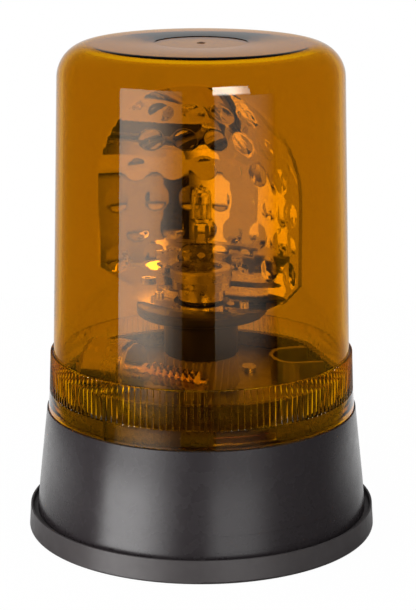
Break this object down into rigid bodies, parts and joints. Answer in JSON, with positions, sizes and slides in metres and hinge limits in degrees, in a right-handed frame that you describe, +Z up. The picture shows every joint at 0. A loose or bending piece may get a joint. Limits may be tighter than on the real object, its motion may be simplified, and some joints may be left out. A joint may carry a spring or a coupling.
{
  "type": "rotating beacon",
  "caption": "Rotating beacon: an amber ribbed dome on a round base, with a fixed halogen lamp and a dimpled mirror turned round it by a motor, worm and wheel.",
  "frame": {"origin": "centre of the foot's underside, where the beacon stands", "axes": "+Z up along the beacon's axis, -Y towards the front, +X to the right seen from the front"},
  "size_m": [0.1638, 0.1638, 0.2289],
  "materials": {
    "base_plastic": "black moulded plastic with a soft sheen",
    "foot_rubber": "matt black rubber",
    "seal_rubber": "matt black rubber",
    "insert_brass": "turned brass",
    "dome_amber": "clear amber moulded plastic, polished",
    "chassis_metal": "die-cast, as cast",
    "zinc_steel": "zinc plated",
    "rivet_aluminium": "bright",
    "terminal_plastic": "cream moulded plastic",
    "spring_steel": "ground steel",
    "lamp_metal": "plated steel",
    "ring_metal": "knurled, plated",
    "bulb_metal": "bright stamped metal",
    "bulb_glass": "clear quartz",
    "filament_tungsten": "drawn wire",
    "carrier_plastic": "black moulded plastic",
    "bush_bronze": "sintered bronze",
    "wheel_plastic": "dark moulded nylon",
    "reflector_chrome": "metallised mirror",
    "worm_brass": "machined",
    "motor_steel": "plated steel"
  },
  "bodies": {
    "housing": {"base_housing": "base_plastic", "base_gasket": "foot_rubber", "mounting_inserts": "insert_brass", "cable_grommet": "foot_rubber", "dome_seal": "seal_rubber", "chassis_plate": "chassis_metal", "chassis_screws": "zinc_steel", "chassis_rivets": "rivet_aluminium", "terminal_block": "terminal_plastic", "terminal_screws": "insert_brass", "centre_post": "zinc_steel", "thrust_washer": "zinc_steel", "retaining_clip": "spring_steel", "lamp_cup": "lamp_metal", "lamp_insulator": "terminal_plastic", "lamp_contact": "insert_brass", "bulb_base": "bulb_metal", "bulb_capsule": "bulb_glass", "bulb_filament": "filament_tungsten", "motor_can": "motor_steel", "motor_front_cap": "motor_steel", "motor_rear_cap": "terminal_plastic", "motor_terminals": "insert_brass", "motor_clamp": "zinc_steel", "motor_clamp_screws": "zinc_steel"},
    "rotor": {"carrier": "carrier_plastic", "lower_bush": "bush_bronze", "upper_bush": "bush_bronze", "worm_wheel": "wheel_plastic", "reflector": "reflector_chrome", "reflector_screws": "zinc_steel"},
    "worm": {"worm": "worm_brass", "motor_shaft": "spring_steel"},
    "dome": {"dome": "dome_amber"},
    "lamp_ring": {"lamp_ring": "ring_metal"}
  },
  "joints": [
    {"name": "rotor_spin", "type": "hinge", "parent": "housing", "child": "rotor", "pos_m": [0, 0, 0.0783], "axis": [0, 0, 1], "continuous": true},
    {"name": "worm_spin", "type": "hinge", "parent": "housing", "child": "worm", "pos_m": [-0.01067, -0.01644, 0.0783], "axis": [0.8387, -0.5446, 0], "continuous": true},
    {"name": "dome_turn", "type": "hinge", "parent": "housing", "child": "dome", "pos_m": [0, 0, 0.0589], "axis": [0, 0, 1], "range_deg": [0, 50]},
    {"name": "lamp_ring_turn", "type": "hinge", "parent": "housing", "child": "lamp_ring", "pos_m": [0, 0, 0.1155], "axis": [0, 0, 1], "range_deg": [0, 28]}
  ],
  "couplings": [
    {"joint": "worm_spin", "follows": "rotor_spin", "ratio": -30}
  ]
}
